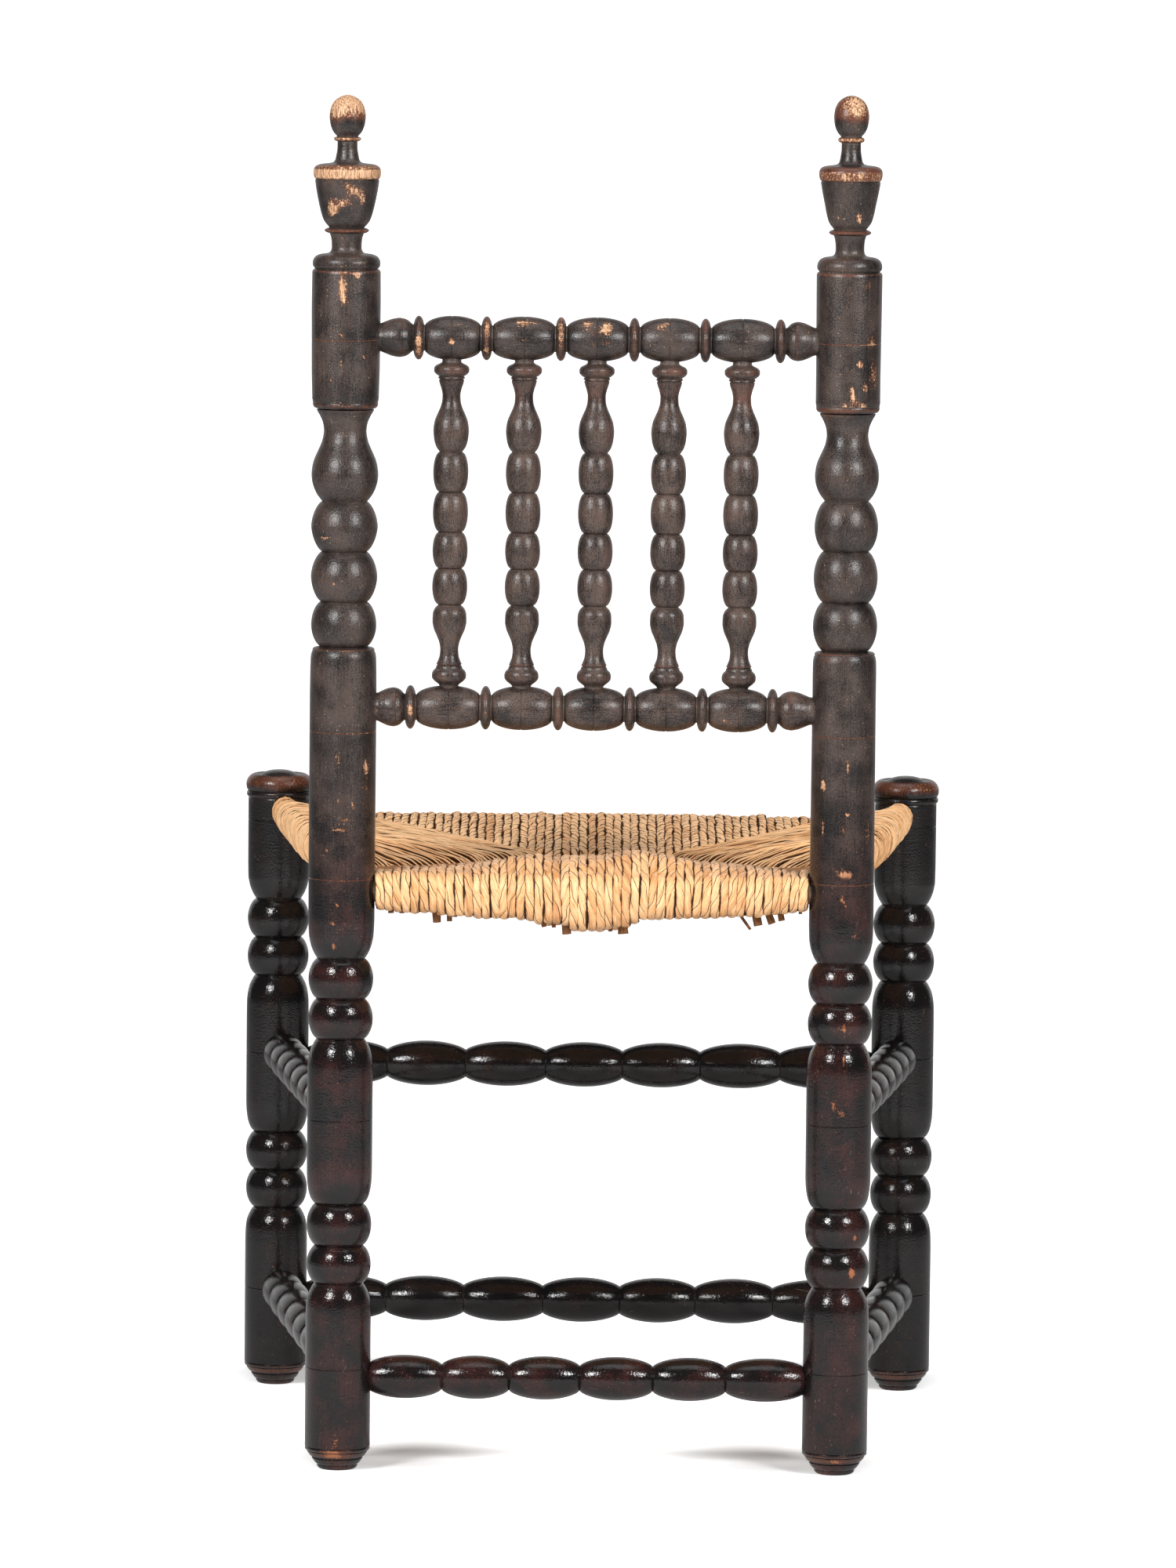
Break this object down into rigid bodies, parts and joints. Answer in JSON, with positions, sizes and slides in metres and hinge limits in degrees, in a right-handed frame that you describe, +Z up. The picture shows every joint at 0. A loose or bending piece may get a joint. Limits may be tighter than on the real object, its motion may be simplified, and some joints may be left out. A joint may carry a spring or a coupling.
{
  "type": "side chair",
  "caption": "Rush-seat side chair with ball, vase and sausage-turned posts, stretchers and back, spindle back and trapezoid woven seat.",
  "frame": {"origin": "on the floor under the middle of the chair's bounding box", "axes": "+Z up, -Y the way the sitter faces; left and right in node names are as seen from the front, so left is -X"},
  "size_m": [0.5566, 0.4586, 1.0565],
  "materials": {
    "black_paint": "aged black-brown paint, satin to glossy, worn to bare wood on edges",
    "bare_wood": "plain unfinished wood under the rush",
    "rush": "dry twisted rush, matt, golden to grey-brown"
  },
  "bodies": {
    "root": {"front_post_left": "black_paint", "front_post_right": "black_paint", "rear_post_left": "black_paint", "rear_post_right": "black_paint", "crest_rail": "black_paint", "lower_back_rail": "black_paint", "back_spindle_1": "black_paint", "back_spindle_2": "black_paint", "back_spindle_3": "black_paint", "back_spindle_4": "black_paint", "back_spindle_5": "black_paint", "front_stretcher_upper": "black_paint", "front_stretcher_lower": "black_paint", "rear_stretcher": "black_paint", "side_stretcher_upper_left": "black_paint", "side_stretcher_upper_right": "black_paint", "side_stretcher_lower_left": "black_paint", "side_stretcher_lower_right": "black_paint", "seat_rail_front": "bare_wood", "seat_rail_rear": "bare_wood", "seat_rail_left": "bare_wood", "seat_rail_right": "bare_wood", "rush_seat": "rush"}
  },
  "joints": []
}
